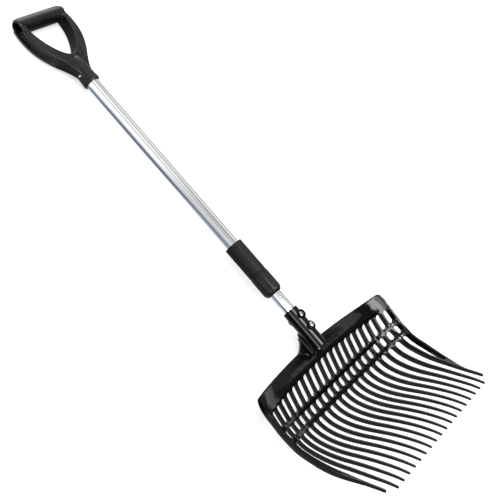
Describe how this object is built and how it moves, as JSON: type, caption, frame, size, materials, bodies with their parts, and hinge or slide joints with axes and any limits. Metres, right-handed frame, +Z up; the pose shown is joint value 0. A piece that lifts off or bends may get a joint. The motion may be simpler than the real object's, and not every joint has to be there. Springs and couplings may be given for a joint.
{
  "type": "d-handle fork",
  "caption": "Wide plastic basket fork with a slotted scoop of long tines on a telescopic aluminium shaft with a clamp collar and a D-shaped grip.",
  "frame": {"origin": "centre of the footprint on the floor, with the fork lying on its head and grip", "axes": "+Y along the shaft from the grip towards the tine tips, +Z up, +X across the head"},
  "size_m": [0.4242, 1.0366, 0.1331],
  "materials": {
    "head_plastic": "glossy black moulded plastic",
    "grip_plastic": "fine textured black plastic",
    "sleeve_plastic": "textured black plastic",
    "nut_plastic": "fluted semi-gloss black plastic",
    "nylon": "natural nylon",
    "aluminium": "bright drawn tube",
    "zinc_steel": "zinc plated"
  },
  "bodies": {
    "head": {"fork_head": "head_plastic", "inner_tube": "aluminium", "inner_guide": "nylon", "bolt_rear": "zinc_steel", "bolt_front": "zinc_steel", "nut_rear": "zinc_steel", "nut_front": "zinc_steel"},
    "handle": {"outer_tube": "aluminium", "d_grip": "grip_plastic", "grip_screw": "zinc_steel", "lock_sleeve": "sleeve_plastic", "clamp_collet": "nylon"},
    "clamp": {"lock_nut": "nut_plastic"}
  },
  "joints": [
    {"name": "shaft_slide", "type": "slide", "parent": "head", "child": "handle", "axis": [0, -0.9996, -0.0297], "range_m": [-0.034, 0.28]},
    {"name": "clamp_turn", "type": "hinge", "parent": "handle", "child": "clamp", "pos_m": [0, 0.13315, 0.0341], "axis": [0, 0.9996, 0.0297], "range_deg": [0, 180]}
  ]
}
